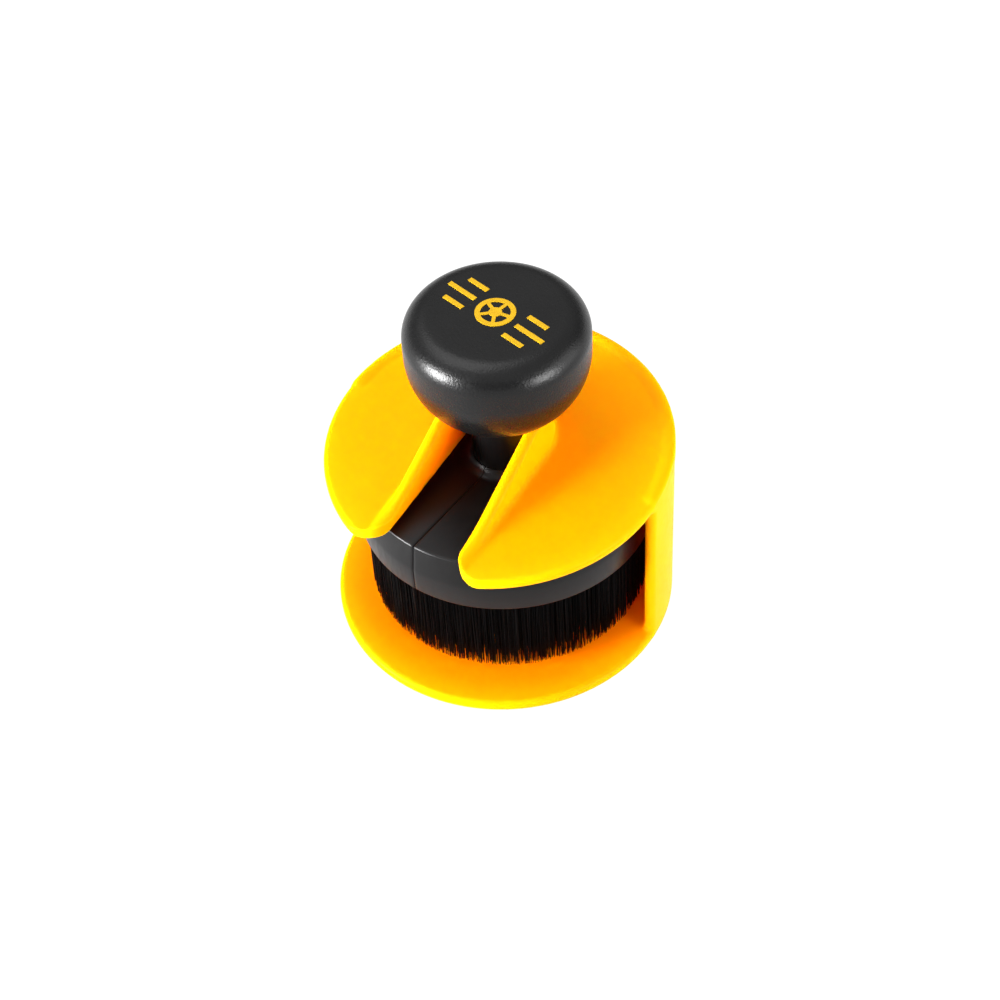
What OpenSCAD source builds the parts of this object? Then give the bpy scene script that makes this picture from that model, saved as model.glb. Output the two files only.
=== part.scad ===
// Wheel brush: a round brush with a bun-shaped knob, hanging by the knob in a one-piece holder.
// Z is up and the origin is the centre of the holder's underside. The holder's slot opens towards -Y.

/* [Holder] */
// Radius of the base disc, and of the wall's outer face
base_r = 42; // [41:0.5:44]
// Thickness of the base disc
base_t = 3; // [2:0.5:3.5]
// Thickness of the half-round wall
wall_t = 2.8; // [2:0.1:2.8]
// Radius of the leaning top plate
plate_r = 41.35; // [41:0.05:42]
// Thickness of the top plate
plate_t = 3; // [2.4:0.1:3.2]
// Height of the top plate's middle layer, at the plate's centre
plate_z = 47.55; // [47.3:0.05:49]
// Angle by which the top plate leans forward
plate_lean = 4.3; // [3:0.1:4.5]
// Width of the slot that the neck slides into
slot_w = 18.6; // [17:0.2:20]
// Radius of the rounded tips on both sides of the slot's mouth
tip_r = 6.6; // [5:0.2:7.4]
// Thickness of the raised rim around the slot
rim_t = 3; // [2:0.2:4]
// Height of the raised rim where the knob rests on it
seat_z = 61.5; // [58:0.1:61.5]
// Slope of the two ramps that lead up to the seat
ramp_angle = 25.4; // [20:0.2:30]

/* [Brush] */
// Distance of the brush's axis behind the base's centre
brush_back = 2.5; // [1:0.1:2.5]
// Outer radius of the collar
collar_r = 36.1; // [35.7:0.1:36.3]
// Height of the collar's lower edge
collar_z = 28.4; // [28:0.1:30]
// Height of the collar's upright lower band
band_h = 6.8; // [5.8:0.1:7]
// Radius at which the collar meets the shoulder
shoulder_r = 35.1; // [34:0.1:35.4]
// Height of the edge between collar and shoulder
shoulder_z = 42.6; // [42.2:0.1:42.6]
// Thickness of the two body shells
shell_t = 1.4; // [1.3:0.1:1.6]
// Angle by which the body's split plane is turned from the slot
body_turn = -5; // [-90:0.5:90]
// Radius of the neck
neck_r = 7.3; // [6.5:0.1:8]
// Height of the bristle tips above the ground
tip_z = 5.6; // [4:0.1:8]
// Number of rings of bristle tufts around the middle tuft
tuft_rings = 6; // [6:1:6]

/* [Knob] */
// Radius of the knob
knob_r = 21.2; // [20.8:0.1:23]
// Height of the knob's underside
knob_z = 61.65; // [61.65:0.05:63]
// Height of the knob from its underside to its flat top
knob_h = 25.45; // [24:0.05:28]
// Rounding of the knob's upper edge
knob_top_round = 6.1; // [3:0.1:6.2]
// Rounding of the knob's lower edge
knob_low_round = 17.3; // [15:0.1:17.5]
// Depth that the knob's flat underside cuts off the lower rounding
knob_low_cut = 2.35; // [2:0.05:2.5]
// Angle by which the knob and its mark are turned from the slot
knob_turn = -14.5; // [-90:0.5:90]

/* [Hidden] */
$fn = 96;

yellow = "#ffc414";
black = "#323234";
collar_black = "#3c3b3d";
bristle_black = "#161617";
steel = "silver";

// Holder
edge_round = 1.2;
slot_half = slot_w / 2;
rim_r = slot_half + rim_t;
wall_front = 1.3;
plate_back = 0.55;
plate_drop = (base_r + plate_back) * tan(plate_lean);

// Body of the brush
body_top = 44.6;
neck_foot_r = neck_r + 2.9;
neck_foot_z = body_top - 2.1;
hub_r = neck_r + 2.1;
hub_z = 38.2;
hub_bore_r = 5.6;
split_gap = 0.1;
rib_t = 1.2;
rib_z = 36.6;
lug_w = 6;
lug_y = 21;
lug_h = 5;
peg_r = 1.2;
peg_clear = 0.05;
peg_l = 2.4;
far = 100;

// Handle
stem_r = hub_bore_r - 0.05;
stem_z = hub_z + 0.3;
plug_r = 11;
plug_h = 5;
knob_wall = 2.2;
pilot_r = 2.02;
pilot_h = 17;
washer_r = 8.4;
washer_t = 1;
head_r = 4;
head_h = 2.4;
shank_r = 2;
shank_l = 15;
recess_w = 1;
recess_l = 4.6;
recess_h = 1.4;

// Print on the knob
mark_h = 0.15;
wheel_r = 4.6;
wheel_rim = 1.2;
wheel_hub_r = 1.5;
spoke_w = 0.8;
spokes = 5;
bar_w = 1.2;
bar_gap = 2.7;
bar_start = 6.4;
bar_lengths = [5.8, 8.2, 5.8];

// Bristles
block_t = 4;
block_z = collar_z + 0.9;
block_r = collar_r - shell_t - 0.05;
glue_t = 0.7;
tuft_root_r = 2.3;
tuft_tip_r = 2.55;
tuft_pitch = 5.2;
tuft_hole_r = 2.36;
tuft_hole_h = 3;
tuft_root_z = block_z + tuft_hole_h - 0.1;
outer_tuft_r = block_r - tuft_root_r - 0.15;

function ring_radius(ring) = outer_tuft_r - (ring - 1) * tuft_pitch;
function ring_count(ring) = floor(2 * PI * ring_radius(ring) / tuft_pitch);

// Things that sit on the brush's own axis
module on_brush(turn = 0) {
    translate([0, brush_back, 0])
        rotate(turn)
            children();
}

// Disc with rounded edges, standing on z = 0
module soft_disc(r, t, e) {
    rotate_extrude() {
        square([r - e, t]);
        translate([0, e])
            square([r, t - 2 * e]);
        for (z = [e, t - e])
            translate([r - e, z])
                circle(e);
    }
}

// Places its children in the leaning plane of the top plate
module in_plate() {
    translate([0, plate_back, plate_z])
        rotate([plate_lean, 0, 0])
            children();
}

// Outline of the slot, or of the raised rim around it
module slot_outline(half) {
    translate([0, brush_back])
        circle(half);
    translate([-half, -base_r - 10])
        square([2 * half, base_r + 10 + brush_back]);
}

// Cuts the sharp corner between the slot and the plate's outline to a rounded tip
module tip_cutter() {
    x = slot_half + tip_r;
    reach = plate_r - tip_r;
    y = -sqrt(reach * reach - x * x);
    difference() {
        polygon([
            [slot_half - 1, y], [x, y], [x, y] * plate_r / reach,
            [x, -plate_r - 3], [slot_half - 1, -plate_r - 3]
        ]);
        translate([x, y])
            circle(tip_r);
    }
}

module top_plate() {
    difference() {
        in_plate()
            translate([0, 0, -plate_t / 2])
                soft_disc(plate_r, plate_t, edge_round);
        for (side = [0, 1])
            mirror([side, 0, 0])
                in_plate()
                    translate([0, 0, -plate_t])
                        linear_extrude(2 * plate_t)
                            tip_cutter();
    }
}

// Half-round wall between the base and the top plate, with rounded front ends
module wall() {
    intersection() {
        linear_extrude(plate_z + plate_t) {
            difference() {
                circle(base_r);
                circle(base_r - wall_t);
                translate([-far, wall_front - 2 * far])
                    square(2 * far);
            }
            for (side = [-1, 1])
                translate([side * (base_r - wall_t / 2), wall_front])
                    circle(wall_t / 2);
        }
        in_plate()
            translate([-far, -far, -2 * far])
                cube(2 * far);
    }
}

// Height of the top plate's middle layer at the distance y behind the base's centre
function plate_height(y) = plate_z + (y - plate_back) * tan(plate_lean);

// Raised rim around the slot: two ramps that rise from the tips to the seat around the neck
module raised_rim() {
    ramp_top = brush_back - 1.9;
    rise = tan(ramp_angle) - tan(plate_lean);
    ramp_foot = ramp_top - (seat_z - plate_height(ramp_top)) / rise;
    intersection() {
        linear_extrude(seat_z + 1)
            slot_outline(rim_r);
        rotate([90, 0, 90])
            translate([0, 0, -far])
                linear_extrude(2 * far)
                    polygon([
                        [ramp_foot, plate_height(ramp_foot)],
                        [ramp_top, seat_z],
                        [far, seat_z],
                        [far, plate_height(far)]
                    ]);
    }
}

module holder() {
    color(yellow)
        difference() {
            union() {
                soft_disc(base_r, base_t, edge_round);
                wall();
                top_plate();
                raised_rim();
            }
            translate([0, 0, plate_z - plate_drop - plate_t])
                linear_extrude(seat_z)
                    slot_outline(slot_half);
        }
}

// Half outline of the knob, shrunk all round by the inset
module bun(inset = 0) {
    r = knob_r - inset;
    top = knob_z + knob_h - inset;
    low = knob_z + inset;
    top_centre = [knob_r - knob_top_round, knob_z + knob_h - knob_top_round];
    low_centre = [knob_r - knob_low_round, knob_z - knob_low_cut + knob_low_round];
    translate([0, low_centre.y])
        square([r, top_centre.y - low_centre.y]);
    translate([0, top_centre.y])
        square([top_centre.x, top - top_centre.y]);
    intersection() {
        translate(top_centre)
            circle(knob_top_round - inset);
        translate(top_centre)
            square(knob_top_round);
    }
    translate([0, low])
        square([low_centre.x, low_centre.y - low]);
    intersection() {
        translate(low_centre)
            circle(knob_low_round - inset);
        translate([low_centre.x, low])
            square([knob_low_round, low_centre.y - low]);
    }
}

module knob_shell() {
    color(black)
        on_brush()
            rotate_extrude()
                difference() {
                    bun();
                    bun(knob_wall);
                    square([plug_r + 0.05, knob_z + plug_h]);
                }
}

// Plug that closes the knob, with the neck and the spigot that the screw pulls down
module knob_stem() {
    color(black)
        on_brush()
            rotate_extrude()
                difference() {
                    union() {
                        translate([0, knob_z])
                            square([plug_r, plug_h]);
                        translate([0, body_top])
                            square([neck_r, knob_z + plug_h - body_top]);
                        translate([0, stem_z])
                            square([stem_r, body_top - stem_z]);
                    }
                    square([pilot_r, stem_z + pilot_h]);
                }
}

// Printed pictogram: a spoked wheel between three plain bars on each side
module knob_mark() {
    color(yellow)
        on_brush(knob_turn)
            translate([0, 0, knob_z + knob_h])
                linear_extrude(mark_h) {
                    difference() {
                        circle(wheel_r);
                        circle(wheel_r - wheel_rim);
                    }
                    circle(wheel_hub_r);
                    for (i = [0:spokes - 1])
                        rotate(90 + i * 360 / spokes)
                            translate([wheel_hub_r / 2, -spoke_w / 2])
                                square([wheel_r - wheel_rim, spoke_w]);
                    for (side = [0, 1], row = [0:len(bar_lengths) - 1])
                        mirror([side, 0])
                            translate([bar_start, (row - 1) * (bar_w + bar_gap) - bar_w / 2])
                                square([bar_lengths[row], bar_w]);
                }
}

// Pan-head screw that holds the knob's stem to the body, driven from below
module handle_screw() {
    head_z = hub_z - washer_t - head_h;
    color(steel)
        on_brush()
            difference() {
                union() {
                    translate([0, 0, head_z])
                        cylinder(h = head_h, r1 = head_r - 0.8, r2 = head_r);
                    translate([0, 0, head_z + head_h])
                        cylinder(h = shank_l, r = shank_r);
                }
                for (turn = [0, 90])
                    rotate(turn)
                        translate([-recess_l / 2, -recess_w / 2, head_z - 1])
                            cube([recess_l, recess_w, recess_h + 1]);
            }
}

module screw_washer() {
    color(steel)
        on_brush()
            translate([0, 0, hub_z - washer_t])
                difference() {
                    cylinder(h = washer_t, r = washer_r);
                    translate([0, 0, -1])
                        cylinder(h = washer_t + 2, r = shank_r + 0.2);
                }
}

// Half section of the body: collar, shoulder, flared foot of the neck and inner hub
module body_section() {
    inner_r = collar_r - shell_t;
    flare = neck_foot_r - neck_r;
    polygon([
        [hub_bore_r, hub_z], [hub_r, hub_z], [hub_r, neck_foot_z - shell_t],
        [shoulder_r - shell_t, shoulder_z - shell_t], [inner_r, collar_z + band_h], [inner_r, collar_z],
        [collar_r, collar_z], [collar_r, collar_z + band_h], [shoulder_r, shoulder_z],
        [neck_foot_r, neck_foot_z], [neck_r, neck_foot_z], [neck_r, body_top],
        [hub_bore_r, body_top]
    ]);
    difference() {
        translate([neck_r, neck_foot_z])
            square([flare, body_top - neck_foot_z]);
        translate([neck_foot_r, neck_foot_z + flare])
            circle(flare);
    }
}

// One half of the body in its own turned frame, on the side of +X
module body_half() {
    intersection() {
        union() {
            rotate_extrude()
                body_section();
            for (turn = [-60, -20, 20, 60])
                rotate(turn)
                    body_rib();
            for (side = [-1, 1])
                translate([split_gap, side * lug_y - lug_w / 2, rib_z])
                    cube([lug_w / 2 + 1, lug_w, lug_h]);
        }
        translate([split_gap, -far, 0])
            cube([far, 2 * far, far]);
    }
}

// Stiffening rib under the shoulder, from the hub to the collar
module body_rib() {
    intersection() {
        translate([hub_r - 0.5, -rib_t / 2, rib_z])
            cube([far, rib_t, far]);
        rotate_extrude()
            polygon([
                [hub_r - 0.5, rib_z], [shoulder_r, rib_z],
                [shoulder_r - shell_t + 0.4, shoulder_z - shell_t + 0.4],
                [hub_r - 0.5, neck_foot_z - shell_t + 0.4]
            ]);
    }
}

module pegs(r, l) {
    for (side = [-1, 1])
        translate([split_gap + 1, side * lug_y, rib_z + lug_h / 2])
            rotate([0, -90, 0])
                cylinder(h = l + 1, r = r);
}

module body_right() {
    color(collar_black)
        on_brush(body_turn) {
            body_half();
            pegs(peg_r, peg_l);
        }
}

module body_left() {
    color(collar_black)
        on_brush(body_turn)
            difference() {
                mirror([1, 0, 0])
                    body_half();
                pegs(peg_r + peg_clear, peg_l + 0.2);
            }
}

// Block that the tufts are set in, with one blind hole for each tuft
module tuft_block() {
    color(bristle_black)
        on_brush()
            difference() {
                translate([0, 0, block_z])
                    cylinder(h = block_t, r = block_r);
                for (ring = [1:tuft_rings])
                    around_ring(ring)
                        tuft_hole();
                tuft_hole();
            }
}

module glue_bed() {
    color("#8a7a55")
        on_brush()
            translate([0, 0, block_z + block_t])
                cylinder(h = glue_t, r = block_r - 0.1);
}

module around_ring(ring) {
    count = ring_count(ring);
    for (i = [0:count - 1])
        rotate(i * 360 / count)
            translate([ring_radius(ring), 0, 0])
                children();
}

module tuft_hole() {
    translate([0, 0, block_z - 1])
        cylinder(h = tuft_hole_h + 1, r = tuft_hole_r, $fn = 24);
}

// One tuft of bristles, a little wider at its tips than at its root
module tuft() {
    translate([0, 0, tip_z])
        cylinder(h = tuft_root_z - tip_z, r1 = tuft_tip_r, r2 = tuft_root_r, $fn = 24);
}

module tufts_ring(ring) {
    color(bristle_black)
        on_brush()
            around_ring(ring)
                tuft();
}

module tufts_middle() {
    color(bristle_black)
        on_brush()
            tuft();
}

holder();
knob_shell();
knob_stem();
knob_mark();
handle_screw();
screw_washer();
body_left();
body_right();
tuft_block();
glue_bed();
tufts_ring(1);  // tufts_ring_1
tufts_ring(2);  // tufts_ring_2
tufts_ring(3);  // tufts_ring_3
tufts_ring(4);  // tufts_ring_4
tufts_ring(5);  // tufts_ring_5
tufts_ring(6);  // tufts_ring_6
tufts_middle();
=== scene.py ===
"""Wheel brush in its yellow holder: the looks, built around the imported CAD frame."""

import math

import bmesh
import bpy
import numpy as np
from mathutils import Matrix, Vector


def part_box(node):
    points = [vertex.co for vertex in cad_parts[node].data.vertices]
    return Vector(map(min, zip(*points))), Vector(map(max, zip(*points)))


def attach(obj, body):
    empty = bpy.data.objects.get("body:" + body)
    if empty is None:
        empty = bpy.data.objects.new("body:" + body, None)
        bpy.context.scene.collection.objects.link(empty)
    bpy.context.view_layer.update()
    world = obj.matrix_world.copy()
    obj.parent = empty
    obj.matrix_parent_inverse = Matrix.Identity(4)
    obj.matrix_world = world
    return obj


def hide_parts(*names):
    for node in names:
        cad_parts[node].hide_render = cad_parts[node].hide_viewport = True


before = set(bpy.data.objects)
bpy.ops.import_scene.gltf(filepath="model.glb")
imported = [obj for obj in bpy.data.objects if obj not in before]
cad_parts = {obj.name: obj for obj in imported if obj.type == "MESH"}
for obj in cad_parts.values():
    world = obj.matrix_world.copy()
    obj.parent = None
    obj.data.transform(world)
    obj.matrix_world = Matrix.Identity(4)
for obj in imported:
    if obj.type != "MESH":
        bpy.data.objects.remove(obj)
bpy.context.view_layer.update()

MM = 0.001
RANDOM = np.random.default_rng(7)


# ---------------------------------------------------------------- sizes, in millimetres


def span(node):
    """Lowest and highest corner of a CAD node."""
    low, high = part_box(node)
    return np.array(low) / MM, np.array(high) / MM


HOLDER_LOW, HOLDER_HIGH = span("holder")
KNOB_LOW, KNOB_HIGH = span("knob_shell")
BODY_LOW, BODY_HIGH = span("body_right")
BLOCK_LOW, BLOCK_HIGH = span("tuft_block")
STEM_LOW, STEM_HIGH = span("knob_stem")
TUFT_LOW, _ = span("tufts_ring_1")

BASE_R = HOLDER_HIGH[0]
SEAT_Z = HOLDER_HIGH[2]
BRUSH_Y = (KNOB_LOW[1] + KNOB_HIGH[1]) / 2
BRUSH_AXIS = np.array([0, BRUSH_Y, 0])

BASE_T = 3.0
WALL_T = 2.8
WALL_FRONT = 1.3
WALL_TOP_R = 41.45
PLATE_R = 41.35
PLATE_T = 3.0
PLATE_BACK = 0.55
PLATE_Z = 47.55
PLATE_LEAN = math.radians(4.3)
SLOT_HALF = 9.3
RIM_R = 12.3
LIP = 0.5
SLOT_DRAFT = 0.04
TIP_R = 6.6
RAMP_TOP = BRUSH_Y - 1.9
RAMP_SLOPE = math.tan(math.radians(25.4))
EDGE = 1.2
CREST_ROUND = 1.5
LIP_FILLET = 2.0
RIM_FILLET = 1.4
WALL_FILLET = 1.3
BASE_FILLET = 0.9

BODY_TURN = math.radians(-5)
KNOB_TURN = math.radians(-14.5)
COLLAR_R = 36.1
COLLAR_Z = BODY_LOW[2]
BODY_TOP = BODY_HIGH[2]
NECK_R = 7.3
SPLIT_GAP = 0.1
SHARP_ANGLE = 50

KNOB_R = (KNOB_HIGH[0] - KNOB_LOW[0]) / 2
PLUG_H = 5
KNOB_Z = STEM_HIGH[2] - PLUG_H
KNOB_TOP = KNOB_HIGH[2]
KNOB_TOP_ROUND = 6.1
KNOB_LOW_ROUND = 17.3
KNOB_LOW_CUT = 2.35
KNOB_WALL = 2.2
PLUG_R = 11.0

TIP_Z = TUFT_LOW[2]
BLOCK_Z = BLOCK_LOW[2]
BLOCK_R = (BLOCK_HIGH[0] - BLOCK_LOW[0]) / 2
TUFT_R = 2.3
TUFT_PITCH = 5.2
OUTER_TUFT_R = BLOCK_R - TUFT_R - 0.15


# ---------------------------------------------------------------- materials


def node(tree, kind, inputs=None, **settings):
    """A new shader node. An input is a value, or a socket to link."""
    made = tree.nodes.new(kind)
    for key, value in settings.items():
        setattr(made, key, value)
    for key, value in (inputs or {}).items():
        if isinstance(value, bpy.types.NodeSocket):
            tree.links.new(value, made.inputs[key])
        else:
            made.inputs[key].default_value = value
    return made


NOISE_LOW = 0.3
NOISE_HIGH = 0.7


def noise(tree, size, detail=2.0, stretch=(1, 1, 1)):
    """Noise of about that many millimetres from lump to lump."""
    place = node(tree, "ShaderNodeTexCoord").outputs["Object"]
    mapped = node(tree, "ShaderNodeMapping", {"Vector": place, "Scale": stretch})
    texture = node(
        tree,
        "ShaderNodeTexNoise",
        {"Vector": mapped.outputs["Vector"], "Scale": 1 / (size * MM), "Detail": detail},
    )
    return texture.outputs["Fac"]


def ramp(tree, value, source, target=(0, 1), interpolation="LINEAR"):
    """A number that runs over the target range as the value runs over the source range."""
    inputs = {
        "Value": value,
        "From Min": source[0],
        "From Max": source[1],
        "To Min": target[0],
        "To Max": target[1],
    }
    made = node(tree, "ShaderNodeMapRange", inputs, interpolation_type=interpolation)
    return made.outputs["Result"]


def between(tree, factor, low, high):
    """A number that runs from low to high as a noise runs over its usual range."""
    return ramp(tree, factor, (NOISE_LOW, NOISE_HIGH), (low, high))


def blend(tree, share, first, second):
    """A mix of two colours. Each is four numbers, or a socket."""
    inputs = {"Factor": share, "A": first, "B": second}
    return node(tree, "ShaderNodeMix", inputs, data_type="RGBA").outputs["Result"]


def tint(tree, factor, first, second):
    """A colour that runs from the first to the second as a noise runs over its usual range."""
    return blend(tree, between(tree, factor, 0, 1), (*first, 1), (*second, 1))


def finish_material(name, colour, roughness, bump_of, bump_height, **constants):
    """A Principled material whose colour, roughness and bump come from its node tree."""
    material = bpy.data.materials.new(name)
    material.use_nodes = True
    tree = material.node_tree
    tree.nodes.clear()
    shader = node(tree, "ShaderNodeBsdfPrincipled", {"Base Color": colour(tree)})
    tree.links.new(roughness(tree), shader.inputs["Roughness"])
    bump = node(
        tree,
        "ShaderNodeBump",
        {"Height": bump_of(tree), "Strength": 1.0, "Distance": bump_height * MM},
    )
    tree.links.new(bump.outputs["Normal"], shader.inputs["Normal"])
    for key, value in constants.items():
        shader.inputs[key.replace("_", " ")].default_value = value
    output = node(tree, "ShaderNodeOutputMaterial")
    tree.links.new(shader.outputs["BSDF"], output.inputs["Surface"])
    return material


def yellow_with_painted_light(tree):
    """Deep yellow; painted shade makes it more orange low down, and painted light makes it
    lighter towards the thin outer edges.
    """
    inner = tint(tree, noise(tree, 30, 1), (0.98, 0.3, 0.0), (0.985, 0.315, 0.0005))
    place = node(tree, "ShaderNodeTexCoord").outputs["Object"]
    flat = node(tree, "ShaderNodeVectorMath", {0: place, 1: (1, 1, 0)}, operation="MULTIPLY")
    radius = node(
        tree, "ShaderNodeVectorMath", {0: flat.outputs["Vector"]}, operation="LENGTH"
    ).outputs["Value"]
    # Painted light: from 34 to 42 mm out, the yellow turns lighter, as if the outer edges caught
    # more light.
    edge = ramp(tree, radius, (34 * MM, 42 * MM), interpolation="SMOOTHSTEP")
    # Painted shade: low down the yellow is a deeper orange, standing in for the shade under the
    # plate and the brush head.
    low = blend(tree, edge, (0.98, 0.22, 0.0, 1), (0.99, 0.31, 0.0005, 1))
    high = blend(tree, edge, inner, (0.99, 0.34, 0.0005, 1))
    height = node(tree, "ShaderNodeSeparateXYZ", {"Vector": place}).outputs["Z"]
    # The painted shade fades out upwards, from the base's top to the plate.
    painted_shade_fade = ramp(tree, height, (BASE_T * MM, PLATE_Z * MM))
    return blend(tree, painted_shade_fade, low, high)


YELLOW = finish_material(
    "yellow_plastic",
    yellow_with_painted_light,
    lambda t: between(t, noise(t, 1.6, 3), 0.33, 0.4),
    lambda t: noise(t, 0.9, 2),
    0.004,
    Specular_IOR_Level=0.015,
    Subsurface_Weight=0.75,
    Subsurface_Radius=(1.0, 0.5, 0.05),
    Subsurface_Scale=5.0 * MM,
)
KNOB_BLACK = finish_material(
    "knob_black_plastic",
    lambda t: tint(t, noise(t, 9, 2), (0.002, 0.002, 0.0021), (0.0035, 0.0035, 0.0036)),
    lambda t: between(t, noise(t, 0.7, 3), 0.26, 0.34),
    lambda t: noise(t, 0.46, 2, (1, 1, 0.7)),
    0.06,
    Specular_IOR_Level=0.24,
)
BODY_BLACK = finish_material(
    "body_black_plastic",
    lambda t: tint(t, noise(t, 12, 2), (0.0015, 0.0013, 0.0014), (0.003, 0.0027, 0.0028)),
    lambda t: between(t, noise(t, 1.1, 3, (1, 1, 0.3)), 0.28, 0.38),
    lambda t: noise(t, 0.8, 2),
    0.006,
    Specular_IOR_Level=0.185,
)
PRINT_YELLOW = finish_material(
    "printed_ink",
    lambda t: tint(t, noise(t, 1.2, 2), (0.48, 0.275, 0.002), (0.56, 0.325, 0.004)),
    lambda t: between(t, noise(t, 0.5), 0.45, 0.6),
    lambda t: noise(t, 0.3),
    0.01,
    Specular_IOR_Level=0.2,
)
BRISTLE_BLACK = finish_material(
    "bristle_black",
    lambda t: tint(
        t, noise(t, 1.5, 2, (1, 1, 0.08)), (0.0005, 0.0005, 0.0006), (0.002, 0.002, 0.0022)
    ),
    lambda t: between(t, noise(t, 0.6), 0.45, 0.6),
    lambda t: noise(t, 0.2),
    0.004,
    Specular_IOR_Level=0.03,
)
BLOCK_BLACK = finish_material(
    "block_black_plastic",
    lambda t: tint(t, noise(t, 6), (0.006, 0.006, 0.006), (0.01, 0.01, 0.01)),
    lambda t: between(t, noise(t, 1), 0.5, 0.65),
    lambda t: noise(t, 0.5),
    0.02,
)
STEEL = finish_material(
    "screw_steel",
    lambda t: tint(t, noise(t, 2), (0.52, 0.52, 0.53), (0.62, 0.62, 0.62)),
    lambda t: between(t, noise(t, 0.4, 3), 0.22, 0.38),
    lambda t: noise(t, 0.3),
    0.005,
    Metallic=1.0,
)
GLUE = finish_material(
    "set_glue",
    lambda t: tint(t, noise(t, 5), (0.3, 0.22, 0.1), (0.4, 0.3, 0.15)),
    lambda t: between(t, noise(t, 2), 0.2, 0.35),
    lambda t: noise(t, 3),
    0.15,
)


# ---------------------------------------------------------------- meshes


def piece(name, points, faces, material, body, replaced, sharp=None):
    """A piece made of points in millimetres, which rides on a body and stands for CAD nodes."""
    mesh = bpy.data.meshes.new(name)
    mesh.from_pydata((np.asarray(points) * MM).tolist(), [], faces)
    form = bmesh.new()
    form.from_mesh(mesh)
    bmesh.ops.remove_doubles(form, verts=form.verts, dist=1e-7)
    form.to_mesh(mesh)
    form.free()
    mesh.shade_smooth()
    if sharp is not None:
        mesh.set_sharp_from_angle(angle=math.radians(sharp))
    mesh.materials.append(material)
    made = bpy.data.objects.new(name, mesh)
    bpy.context.scene.collection.objects.link(made)
    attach(made, body)
    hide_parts(*replaced)
    return made


def arc(centre, radius, start, end, steps):
    """Points on a circular arc, from one angle to another in degrees."""
    angles = np.radians(np.linspace(start, end, steps))
    return np.stack(
        [centre[0] + radius * np.cos(angles), centre[1] + radius * np.sin(angles)], axis=1
    )


def softened(corners, steps=5):
    """Closed outline through corners (r, z, rounding), with that many points in each rounding."""
    outline = []
    count = len(corners)
    for i, (r, z, rounding) in enumerate(corners):
        here = np.array([r, z])
        if rounding <= 0:
            outline.append(here)
            continue
        back = np.array(corners[i - 1][:2]) - here
        ahead = np.array(corners[(i + 1) % count][:2]) - here
        back /= np.linalg.norm(back)
        ahead /= np.linalg.norm(ahead)
        half_angle = math.acos(np.clip(back @ ahead, -1, 1)) / 2
        reach = rounding / math.tan(half_angle)
        middle = back + ahead
        centre = here + middle / np.linalg.norm(middle) * rounding / math.sin(half_angle)
        first = here + back * reach - centre
        last = here + ahead * reach - centre
        turn = math.atan2(first[0] * last[1] - first[1] * last[0], first @ last)
        for share in np.linspace(0, 1, steps):
            c, s = math.cos(turn * share), math.sin(turn * share)
            spoke = [c * first[0] - s * first[1], s * first[0] + c * first[1]]
            outline.append(centre + np.array(spoke))
    return np.array(outline)


def ring_faces(columns, rows, closed):
    """Quads between neighbouring columns of a closed outline of rows points."""
    faces = []
    last = columns if closed else columns - 1
    for c in range(last):
        here, there = c * rows, ((c + 1) % columns) * rows
        for r in range(rows):
            after = (r + 1) % rows
            faces.append((here + r, there + r, there + after, here + after))
    return faces


def lathed(outline, steps, shape=None):
    """A closed outline turned once round the brush's axis. shape may change radii by angle."""
    angles = np.linspace(0, 2 * math.pi, steps, endpoint=False)
    columns = []
    for angle in angles:
        r, z = outline[:, 0].copy(), outline[:, 1]
        if shape is not None:
            r = shape(r, z, angle)
        columns.append(np.stack([r * math.cos(angle), r * math.sin(angle), z], axis=1))
    return np.concatenate(columns) + BRUSH_AXIS, ring_faces(steps, len(outline), True)


# ---------------------------------------------------------------- holder


def leaning(points):
    """Height above the top plate's middle layer, and the distance back along it."""
    y = points[:, 1] - PLATE_BACK
    z = points[:, 2] - PLATE_Z
    up = z * math.cos(PLATE_LEAN) - y * math.sin(PLATE_LEAN)
    along = y * math.cos(PLATE_LEAN) + z * math.sin(PLATE_LEAN)
    return up, along


def round_and(a, b, radius):
    """Both of two shapes, with their common edge rounded."""
    outside = np.hypot(np.maximum(a + radius, 0), np.maximum(b + radius, 0))
    return np.minimum(np.maximum(a, b), -radius) + outside


def round_or(a, b, radius):
    """Either of two shapes, with a fillet where they meet."""
    inside = np.hypot(np.maximum(radius - a, 0), np.maximum(radius - b, 0))
    return np.maximum(np.minimum(a, b), radius) - inside


def slot_distance(x, y):
    """Distance from the slot's middle line."""
    return np.hypot(x, np.maximum(y - BRUSH_Y, 0))


def plate_outline(x, along, in_slot):
    """Flat distance to the plate's outline, with round tips beside the slot."""
    disc = np.hypot(x, along) - PLATE_R
    tip_x = SLOT_HALF + TIP_R
    reach = PLATE_R - TIP_R
    tip_y = -math.sqrt(reach**2 - tip_x**2)
    dx, dy = np.abs(x) - tip_x, along - tip_y
    cross_low = dx * tip_y - dy * tip_x
    in_corner = (dy < 0) & (cross_low > 0)
    corner = np.hypot(dx, dy) - TIP_R
    plain = np.maximum(disc, SLOT_HALF - in_slot)
    return disc, np.where(in_corner & (corner > -TIP_R), corner, plain)


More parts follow.
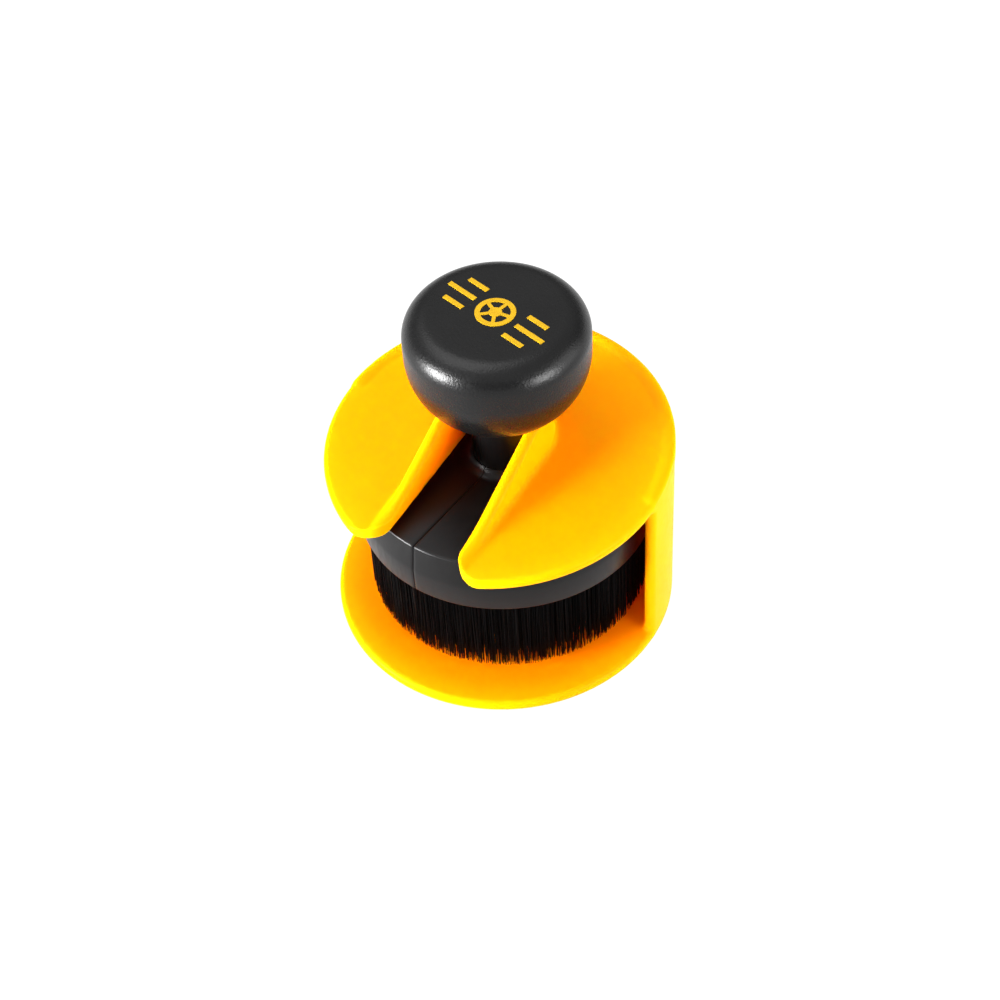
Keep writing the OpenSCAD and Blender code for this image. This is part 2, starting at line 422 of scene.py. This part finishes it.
def holder_field(points):
    """Signed distance to the holder, about, in millimetres."""
    x, y, z = points.T
    radius = np.hypot(x, y)
    up, along = leaning(points)
    in_slot = slot_distance(x, y)

    base = round_and(radius - BASE_R, np.abs(z - BASE_T / 2) - BASE_T / 2, EDGE)

    outer_r = BASE_R + (WALL_TOP_R - BASE_R) * np.clip(z / PLATE_Z, 0, 1)
    middle_r = outer_r - WALL_T / 2
    ring = np.abs(radius - middle_r)
    ending = np.hypot(np.abs(x) - middle_r, y - WALL_FRONT)
    wall = np.where(y >= WALL_FRONT, ring, ending) - WALL_T / 2
    wall = round_and(wall, up - PLATE_T / 2, EDGE)
    wall = np.maximum(wall, BASE_T / 2 - z)

    disc, outline = plate_outline(x, along, in_slot)
    slab = np.abs(up) - PLATE_T / 2
    plate = round_and(disc, slab, EDGE)

    crest = SEAT_Z - RAMP_SLOPE * np.maximum(RAMP_TOP - y, 0)
    slanted = np.where(y < RAMP_TOP, (z - crest) * math.cos(math.atan(RAMP_SLOPE)), z - crest)
    lip = up - PLATE_T / 2 - LIP
    rim = round_and(in_slot - RIM_R, round_or(slanted, lip, LIP_FILLET), CREST_ROUND)
    rim = np.maximum(rim, -up)
    rim = np.maximum(rim, disc + EDGE)

    top = round_or(plate, rim, RIM_FILLET)
    half = SLOT_HALF - SLOT_DRAFT * np.maximum(crest - z, 0)
    top = round_and(top, half - in_slot, CREST_ROUND)
    top = np.maximum(top, outline)
    shell = round_or(top, wall, WALL_FILLET)
    shell = np.maximum(shell, np.minimum(disc, radius - outer_r))
    whole = round_or(shell, base, BASE_FILLET)
    return np.maximum(whole, radius - BASE_R)


def surface_net(field, low, high, cell):
    """Points and quads of the surface where the field is zero."""
    counts = [int(math.ceil((b - a) / cell)) + 1 for a, b in zip(low, high)]
    axes = [a + cell * np.arange(n) for a, n in zip(low, counts)]
    grid = np.stack(np.meshgrid(*axes, indexing="ij"), axis=-1).reshape(-1, 3)
    batches = np.array_split(grid, 12)
    values = np.concatenate([field(batch) for batch in batches]).reshape(counts)

    corners = [(i, j, k) for i in (0, 1) for j in (0, 1) for k in (0, 1)]
    inner = [n - 1 for n in counts]

    def shifted(offset):
        return values[tuple(slice(o, o + n) for o, n in zip(offset, inner))]

    total = np.zeros((*inner, 3))
    crossings = np.zeros(inner)
    for a in corners:
        for axis in range(3):
            if a[axis]:
                continue
            b = tuple(v + (n == axis) for n, v in enumerate(a))
            va, vb = shifted(a), shifted(b)
            cut = (va < 0) != (vb < 0)
            share = np.where(cut, va / np.where(cut, va - vb, 1), 0)
            for n in range(3):
                total[..., n] += np.where(cut, a[n] + (share if n == axis else 0), 0)
            crossings += cut
    used = crossings > 0
    where = np.argwhere(used)
    points = np.array(low) + cell * (where + total[used] / crossings[used][:, None])
    number = -np.ones(inner, int)
    number[used] = np.arange(len(where))

    faces = []
    for axis in range(3):
        one, two = [n for n in range(3) if n != axis]
        first = [slice(None)] * 3
        second = [slice(None)] * 3
        first[axis], second[axis] = slice(0, -1), slice(1, None)
        for n in (one, two):
            first[n] = second[n] = slice(1, -1)
        va, vb = values[tuple(first)], values[tuple(second)]
        cut = (va < 0) != (vb < 0)
        rising = (va < 0)[cut]
        spot = np.argwhere(cut)
        spot[:, one] += 1
        spot[:, two] += 1
        quad = []
        for a, b in ((1, 1), (0, 1), (0, 0), (1, 0)):
            cell_at = spot.copy()
            cell_at[:, one] -= a
            cell_at[:, two] -= b
            quad.append(number[tuple(cell_at.T)])
        quad = np.stack(quad, axis=1)
        forward = rising if axis != 1 else ~rising
        faces.append(np.where(forward[:, None], quad, quad[:, ::-1]))
    return points, np.concatenate(faces)


def settled(field, points, rounds=3, step=0.02, flattest=0.25, furthest=0.25):
    """Points moved onto the surface along the field's slope, no further than furthest a round."""
    for _ in range(rounds):
        value = field(points)
        slope = np.empty_like(points)
        for n in range(3):
            shift = np.zeros(3)
            shift[n] = step
            slope[:, n] = (field(points + shift) - field(points - shift)) / (2 * step)
        length = np.maximum((slope**2).sum(1), flattest)
        move = -(value / length)[:, None] * slope
        points = points + np.clip(move, -furthest, furthest)
    return points


def make_holder():
    """The whole yellow moulding, as the zero surface of its field."""
    cell = 0.42
    margin = 1.3
    low = HOLDER_LOW - margin
    points, faces = surface_net(holder_field, low, HOLDER_HIGH + margin, cell)
    points = settled(holder_field, points)
    return piece(
        "holder_moulding",
        points,
        faces.tolist(),
        YELLOW,
        "holder_body",
        ["holder"],
    )


# ---------------------------------------------------------------- knob and stem


def make_knob():
    """The hollow bun, with a small chamfer (in degrees of its rounding) at its foot."""
    low_centre = (KNOB_R - KNOB_LOW_ROUND, KNOB_Z - KNOB_LOW_CUT + KNOB_LOW_ROUND)
    top_centre = (KNOB_R - KNOB_TOP_ROUND, KNOB_TOP - KNOB_TOP_ROUND)
    inner_low = KNOB_LOW_ROUND - KNOB_WALL
    inner_top = KNOB_TOP_ROUND - KNOB_WALL
    mouth = PLUG_R + 0.05
    chamfer = 2.2
    outer_start = -math.degrees(math.asin((low_centre[1] - KNOB_Z) / KNOB_LOW_ROUND))
    inner_start = -math.degrees(math.asin((low_centre[1] - KNOB_Z - KNOB_WALL) / inner_low))
    foot_r = arc(low_centre, KNOB_LOW_ROUND, outer_start, outer_start + chamfer, 2)[0][0]
    edge = [[foot_r - 0.6, KNOB_Z], [foot_r - 0.1, KNOB_Z + 0.12]]
    flat = np.array([[r, KNOB_TOP] for r in np.linspace(top_centre[0], 0, 12)[1:]])
    outline = np.concatenate(
        [
            [[mouth, KNOB_Z]],
            edge,
            arc(low_centre, KNOB_LOW_ROUND, outer_start + chamfer, 0, 34),
            arc(top_centre, KNOB_TOP_ROUND, 0, 90, 20),
            flat,
            [[0, KNOB_TOP - KNOB_WALL]],
            arc(top_centre, inner_top, 90, 0, 8),
            arc(low_centre, inner_low, 0, inner_start, 12),
            [[mouth, KNOB_Z + KNOB_WALL]],
        ]
    )
    points, faces = lathed(outline, 240)
    return piece(
        "knob_cap",
        points,
        faces,
        KNOB_BLACK,
        "brush_body",
        ["knob_shell"],
        SHARP_ANGLE,
    )


def seam_angles(turn):
    """Directions of a mould's two parting lines, from +X, for a part turned from the slot."""
    return turn - math.pi / 2, turn + math.pi / 2


def make_stem():
    """The neck with its spigot below, its plug above and two raised mould seams."""
    bore_r = 2.02
    bore_top = STEM_LOW[2] + 17
    spigot_r = 5.55
    seam_height, seam_width = 0.09, 0.22
    neck_reach = 0.3
    outline = softened(
        [
            (0, bore_top, 0),
            (bore_r, bore_top, 0),
            (bore_r, STEM_LOW[2], 0),
            (spigot_r, STEM_LOW[2], 0.3),
            (spigot_r, BODY_TOP, 0),
            (NECK_R, BODY_TOP, 0.25),
            (NECK_R, KNOB_Z, 0.9),
            (PLUG_R, KNOB_Z, 0),
            (PLUG_R, KNOB_Z + PLUG_H, 0),
            (0, KNOB_Z + PLUG_H, 0),
        ]
    )

    def seamed(r, z, angle):
        raised = 0.0
        for seam in seam_angles(KNOB_TURN):
            off = (angle - seam + math.pi) % (2 * math.pi) - math.pi
            raised += seam_height * math.exp(-((off * NECK_R / seam_width) ** 2))
        on_neck = np.abs(r - NECK_R) < neck_reach
        return np.where(on_neck, r + raised, r)

    points, faces = lathed(outline, 256, seamed)
    return piece(
        "knob_neck",
        points,
        faces,
        BODY_BLACK,
        "brush_body",
        ["knob_stem"],
        SHARP_ANGLE,
    )


# ---------------------------------------------------------------- body halves


def body_outline():
    """Closed section of the body's shell, with softened edges."""
    shell = 1.4
    inner_r = COLLAR_R - shell
    band_z = COLLAR_Z + 6.8
    shoulder_r, shoulder_z = 35.1, 42.6
    flare = 2.9
    foot_r, foot_z = NECK_R + flare, BODY_TOP - 2.1
    foot_centre = (foot_r, foot_z + flare)
    hub_r, bore_r, hub_z = NECK_R + 2.1, 5.6, 38.2
    end = -180 + math.degrees(math.asin((foot_centre[1] - BODY_TOP) / flare))
    foot = [(r, z, 0) for r, z in arc(foot_centre, flare, -90, end, 9)]
    return softened(
        [
            (bore_r, hub_z, 0),
            (hub_r, hub_z, 0.3),
            (hub_r, foot_z - shell, 0.3),
            (shoulder_r - shell, shoulder_z - shell, 0.4),
            (inner_r, band_z, 0.4),
            (inner_r, COLLAR_Z, 0.3),
            (COLLAR_R, COLLAR_Z, 0.45),
            (COLLAR_R, band_z, 12),
            (shoulder_r, shoulder_z, 0.6),
        ]
        + foot
        + [(bore_r, BODY_TOP, 0)]
    )


def outward(outline):
    """Unit normals of a closed outline, pointing out of its section."""
    along = np.roll(outline, -1, axis=0) - np.roll(outline, 1, axis=0)
    normal = np.stack([along[:, 1], -along[:, 0]], axis=1)
    normal /= np.maximum(np.linalg.norm(normal, axis=1), 1e-9)[:, None]
    x, y = outline.T
    area = np.sum(x * np.roll(y, -1) - np.roll(x, -1) * y)
    return normal * np.sign(area)


def half_turned(outline):
    """The section swept over the +X side, with its edges along the split drawn in.

    The edges are drawn in fully on the collar, and much less on the shoulder.
    """
    collar_start, collar_run, least = 30, 3, 0.15
    on_collar = np.clip((outline[:, 0] - collar_start) / collar_run, least, 1)[:, None]
    normal = outward(outline) * on_collar
    half_gap = SPLIT_GAP / 2
    near_split = [(half_gap, 0.2), (half_gap + 0.05, 0.08), (half_gap + 0.15, 0.0)]
    last_angle = 88.5
    columns = []
    for off, inset in near_split:
        columns.append(split_column(outline - normal * inset, off, -1))
    for angle in np.radians(np.linspace(-last_angle, last_angle, 150)):
        r, z = outline.T
        columns.append(np.stack([r * math.cos(angle), r * math.sin(angle), z], axis=1))
    for off, inset in reversed(near_split):
        columns.append(split_column(outline - normal * inset, off, 1))
    rows = len(outline)
    faces = ring_faces(len(columns), rows, False)
    faces.append(tuple(range(rows)))
    faces.append(tuple(reversed(range((len(columns) - 1) * rows, len(columns) * rows))))
    return np.concatenate(columns), faces


def split_column(outline, off, side):
    """The section beside the split plane, that far off it."""
    r, z = outline.T
    return np.stack([np.full_like(r, off), side * np.sqrt(r**2 - off**2), z], axis=1)


def prism(outline, low, high):
    """A flat outline given thickness: outline in the first two axes, low to high in the third."""
    count = len(outline)
    points = [(a, b, c) for c in (low, high) for a, b in outline]
    faces = [tuple(reversed(range(count))), tuple(range(count, 2 * count))]
    for i in range(count):
        after = (i + 1) % count
        faces.append((i, after, count + after, count + i))
    return np.array(points, float), faces


def joined(parts):
    """Several (points, faces) as one."""
    points, faces, start = [], [], 0
    for p, f in parts:
        points.append(p)
        faces += [tuple(start + v for v in face) for face in f]
        start += len(p)
    return np.concatenate(points), faces


def turned(points, angle):
    """Points turned about the upright axis."""
    c, s = math.cos(angle), math.sin(angle)
    x, y, z = points.T
    return np.stack([c * x - s * y, s * x + c * y, z], axis=1)


def body_inside():
    """Ribs under the shoulder and the lugs along the split, on the +X side."""
    rib_z, rib_top, rib_half = 36.6, 41.5, 0.6
    hub_r, low_r, high_r = NECK_R + 1.6, 34.9, 34.1
    lug_x, lug_w, lug_y, lug_h = 4, 6, 21, 5
    rib = [(hub_r, rib_z), (low_r, rib_z), (high_r, rib_top), (hub_r, rib_top)]
    parts = []
    for turn in (-60, -20, 20, 60):
        points, faces = prism(rib, -rib_half, rib_half)
        upright = np.stack([points[:, 0], -points[:, 2], points[:, 1]], axis=1)
        parts.append((turned(upright, math.radians(turn)), faces))
    for side in (-1, 1):
        low, high = side * lug_y - lug_w / 2, side * lug_y + lug_w / 2
        lug = [(SPLIT_GAP, low), (lug_x, low), (lug_x, high), (SPLIT_GAP, high)]
        parts.append(prism(lug, rib_z, rib_z + lug_h - 0.6))
    return parts


def make_body_half(name, replaced, mirrored):
    """One half of the collar and shoulder. The other is its mirror image."""
    points, faces = joined([half_turned(body_outline())] + body_inside())
    if mirrored:
        points = points * [-1, 1, 1]
        faces = [tuple(reversed(face)) for face in faces]
    points = turned(points, BODY_TURN) + BRUSH_AXIS
    return piece(
        name, points, faces, BODY_BLACK, "brush_body", [replaced], SHARP_ANGLE
    )


# ---------------------------------------------------------------- bristles


FILAMENT_SIDES = 3
WAIST_SHARE = 0.16
TAPER_START = 0.6
TAPER = 0.3
CLUMPS = 7
FILAMENT_WIDTH = 0.2


def ring_radius(ring):
    """Radius of a ring of tufts, counted from the outside."""
    return OUTER_TUFT_R - (ring - 1) * TUFT_PITCH


def ring_count(ring):
    """How many tufts a ring holds."""
    return int(2 * math.pi * ring_radius(ring) / TUFT_PITCH)


def filaments(root, waist, tip, thickness):
    """Three-sided tapering filaments through root, waist and tip, as points and faces."""
    count = len(root)
    shares = np.array([0.0, WAIST_SHARE, 0.45, 0.75, 1.0])
    rows = []
    spin = RANDOM.uniform(0, 2 * math.pi, count)
    for share in shares:
        if share < WAIST_SHARE:
            centre = root
        else:
            s = (share - WAIST_SHARE) / (1 - WAIST_SHARE)
            ease = s * s
            straight = waist + (tip - waist) * s
            bowed = np.stack(
                [
                    waist[:, 0] + (tip[:, 0] - waist[:, 0]) * ease,
                    waist[:, 1] + (tip[:, 1] - waist[:, 1]) * ease,
                    straight[:, 2],
                ],
                axis=1,
            )
            centre = 0.5 * (straight + bowed)
        half = thickness / 2 * (1 - TAPER * max(share - TAPER_START, 0) / (1 - TAPER_START))
        for side in range(FILAMENT_SIDES):
            angle = spin + side * 2 * math.pi / FILAMENT_SIDES
            shift = np.stack([np.cos(angle), np.sin(angle), np.zeros(count)], axis=1)
            rows.append(centre + shift * half[:, None])
    levels = len(shares)
    points = np.stack(rows, axis=1).reshape(-1, 3)
    faces = []
    start = np.arange(count) * levels * FILAMENT_SIDES
    for level in range(levels - 1):
        for side in range(FILAMENT_SIDES):
            a = level * FILAMENT_SIDES + side
            b = level * FILAMENT_SIDES + (side + 1) % FILAMENT_SIDES
            quad = [b, a, a + FILAMENT_SIDES, b + FILAMENT_SIDES]
            faces += np.stack([start + corner for corner in quad], axis=1).tolist()
    last = (levels - 1) * FILAMENT_SIDES
    faces += np.stack([start + last + 2, start + last + 1, start + last], axis=1).tolist()
    faces += np.stack([start, start + 1, start + 2], axis=1).tolist()
    return points, faces


def make_tufts(name, ring_r, count, per_tuft, replaced):
    """A ring of tufts whose filaments spread into one even curtain below the block."""
    total = count * per_tuft
    tuft = np.repeat(np.arange(count), per_tuft)
    middle = tuft * 2 * math.pi / count
    pitch = 2 * math.pi / count

    spread = TUFT_R * np.sqrt(RANDOM.uniform(0, 1, total))
    around = RANDOM.uniform(0, 2 * math.pi, total)
    radial, sideways = spread * np.cos(around), spread * np.sin(around)

    cell_side = RANDOM.uniform(-0.52, 0.52, total) * pitch
    cell_radial = np.sign(radial) * RANDOM.uniform(0, 1, total) ** 0.75 * (TUFT_R + 0.08)
    if ring_r == 0:
        radial_tip, angle_tip = spread * 1.1, around
        radial_root, angle_root = spread * 0.95, around
    else:
        clump = RANDOM.integers(0, CLUMPS, total) + tuft * CLUMPS
        lean = RANDOM.normal(0, 0.004, count * CLUMPS)[clump] + RANDOM.normal(0, 0.003, total)
        radial_root = ring_r + 0.9 * radial
        angle_root = middle + 0.9 * sideways / ring_r
        radial_tip = ring_r + cell_radial + RANDOM.normal(0, 0.12, total)
        angle_tip = middle + cell_side + lean
    limit = OUTER_TUFT_R + TUFT_R + 0.1
    radial_waist = np.minimum(0.35 * radial_root + 0.65 * radial_tip, limit)
    angle_waist = 0.1 * angle_root + 0.9 * angle_tip
    radial_tip = np.minimum(radial_tip, limit + 0.1 * RANDOM.uniform(0, 1, total))

    def place(r, angle, height):
        z = np.full(total, height)
        return np.stack([r * np.cos(angle), r * np.sin(angle), z], axis=1) + BRUSH_AXIS

    short = RANDOM.exponential(0.06, total) + RANDOM.exponential(0.04, count)[tuft]
    tip_z = TIP_Z + 0.02 + np.minimum(short, 1.6)
    root = place(radial_root, angle_root, BLOCK_Z + 2.8)
    waist = place(radial_waist, angle_waist, BLOCK_Z - 1.0)
    tip = place(radial_tip, angle_tip, tip_z)
    width = FILAMENT_WIDTH * RANDOM.uniform(0.8, 1.15, total)
    points, faces = filaments(root, waist, tip, width)
    return piece(name, points, faces, BRISTLE_BLACK, "brush_body", [replaced])


# ---------------------------------------------------------------- the object


make_holder()
make_knob()
make_stem()
make_body_half("collar_right_half", "body_right", False)
make_body_half("collar_left_half", "body_left", True)

PER_TUFT = [230, 90, 56, 56, 56, 56]
MIDDLE_TUFT = 56
SHOWN_SHARE = 1
for ring, per_tuft in enumerate(PER_TUFT, 1):
    make_tufts(
        f"bristles_ring_{ring}",
        ring_radius(ring),
        ring_count(ring),
        int(per_tuft * SHOWN_SHARE),
        f"tufts_ring_{ring}",
    )
make_tufts("bristles_middle", 0, 1, MIDDLE_TUFT, "tufts_middle")

CARRIED_OVER = {
    "knob_mark": PRINT_YELLOW,
    "handle_screw": STEEL,
    "screw_washer": STEEL,
    "tuft_block": BLOCK_BLACK,
    "glue_bed": GLUE,
}
for name, material in CARRIED_OVER.items():
    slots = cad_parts[name].data.materials
    slots.clear()
    slots.append(material)


# ---------------------------------------------------------------- camera, light and floor


AZIMUTH = math.radians(33.8)
RIGHT = Vector((math.cos(AZIMUTH), math.sin(AZIMUTH), 0))
FRONT = Vector((math.sin(AZIMUTH), -math.cos(AZIMUTH), 0))
UP = Vector((0, 0, 1))
TARGET = Vector((0, 0, 0.045))


def make_camera():
    """A camera that looks down on the object from the front right."""
    distance, aim_below, aim_right = 0.42, 0.01098, 0.00046
    elevation = math.radians(45.78)
    roll = math.radians(-3.7)
    back = FRONT * math.cos(elevation) + UP * math.sin(elevation)
    above = UP * math.cos(elevation) - FRONT * math.sin(elevation)
    right = RIGHT * math.cos(roll) + above * math.sin(roll)
    above = above * math.cos(roll) - RIGHT * math.sin(roll)
    place = TARGET + back * distance
    aim = TARGET - above * aim_below + right * aim_right
    back = (place - aim).normalized()
    above = (above - back * above.dot(back)).normalized()
    right = above.cross(back)
    camera = bpy.data.objects.new("camera", bpy.data.cameras.new("camera"))
    bpy.context.scene.collection.objects.link(camera)
    turn = Matrix((right, above, back)).transposed().to_4x4()
    camera.matrix_world = Matrix.Translation(place) @ turn
    camera.data.sensor_width = 36
    camera.data.lens = 64.19
    camera.data.clip_start = 0.02
    camera.data.clip_end = 50
    bpy.context.scene.camera = camera


def softbox(name, sideways, forward, upward, *, distance, size, watts):
    """A square soft light in that direction from the object, as seen from the camera."""
    direction = (RIGHT * sideways + FRONT * forward + UP * upward).normalized()
    light = bpy.data.lights.new(name, "AREA")
    light.shape = "SQUARE"
    light.size = size
    light.energy = watts
    made = bpy.data.objects.new(name, light)
    bpy.context.scene.collection.objects.link(made)
    made.location = TARGET + direction * distance
    made.rotation_mode = "QUATERNION"
    made.rotation_quaternion = direction.to_track_quat("Z", "Y")


def make_floor():
    """A pale floor that also glows a little, just under the base."""
    size = 4.0
    steps = 24
    drop = 0.05 * MM
    grid = bmesh.new()
    bmesh.ops.create_grid(grid, x_segments=steps, y_segments=steps, size=size)
    mesh = bpy.data.meshes.new("floor")
    grid.to_mesh(mesh)
    grid.free()
    floor = bpy.data.objects.new("floor", mesh)
    bpy.context.scene.collection.objects.link(floor)
    floor.location.z = -drop
    mesh.materials.append(
        finish_material(
            "pale_floor",
            lambda t: tint(t, noise(t, 400, 1), (0.06, 0.06, 0.06), (0.07, 0.07, 0.07)),
            lambda t: between(t, noise(t, 100, 1), 0.75, 0.85),
            lambda t: noise(t, 50, 1),
            0.001,
            Emission_Color=(1, 1, 1, 1),
            Emission_Strength=0.96,
        )
    )


def make_world():
    """Pale at the horizon, greyer above it and pale overhead."""
    world = bpy.data.worlds.new("studio")
    bpy.context.scene.world = world
    world.use_nodes = True
    tree = world.node_tree
    tree.nodes.clear()
    place = node(tree, "ShaderNodeTexCoord").outputs["Generated"]
    height = node(tree, "ShaderNodeSeparateXYZ", {"Vector": place}).outputs["Z"]
    horizon = ramp(tree, height, (0.0, 0.1), (1.0, 0.3), "SMOOTHSTEP")
    overhead = ramp(tree, height, (0.35, 0.75), (0.0, 0.7), "SMOOTHSTEP")
    strength = node(tree, "ShaderNodeMath", {0: horizon, 1: overhead}, operation="ADD")
    background = node(tree, "ShaderNodeBackground", {"Strength": strength.outputs["Value"]})
    background.inputs["Color"].default_value = (1, 1, 1, 1)
    output = node(tree, "ShaderNodeOutputWorld")
    tree.links.new(background.outputs["Background"], output.inputs["Surface"])


make_camera()
make_world()
make_floor()
softbox("key_left", -0.93, 0.33, 0.15, distance=0.75, size=0.3, watts=25.0)
softbox("top_back", -0.3, -0.18, 0.94, distance=1.2, size=0.9, watts=7.0)
softbox("fill_right", 0.74, 0.64, 0.15, distance=0.9, size=0.4, watts=9.0)
softbox("panel_right", 0.9, 0.2, 0.2, distance=1.1, size=0.9, watts=7.0)
bpy.context.scene.view_settings.view_transform = "Standard"
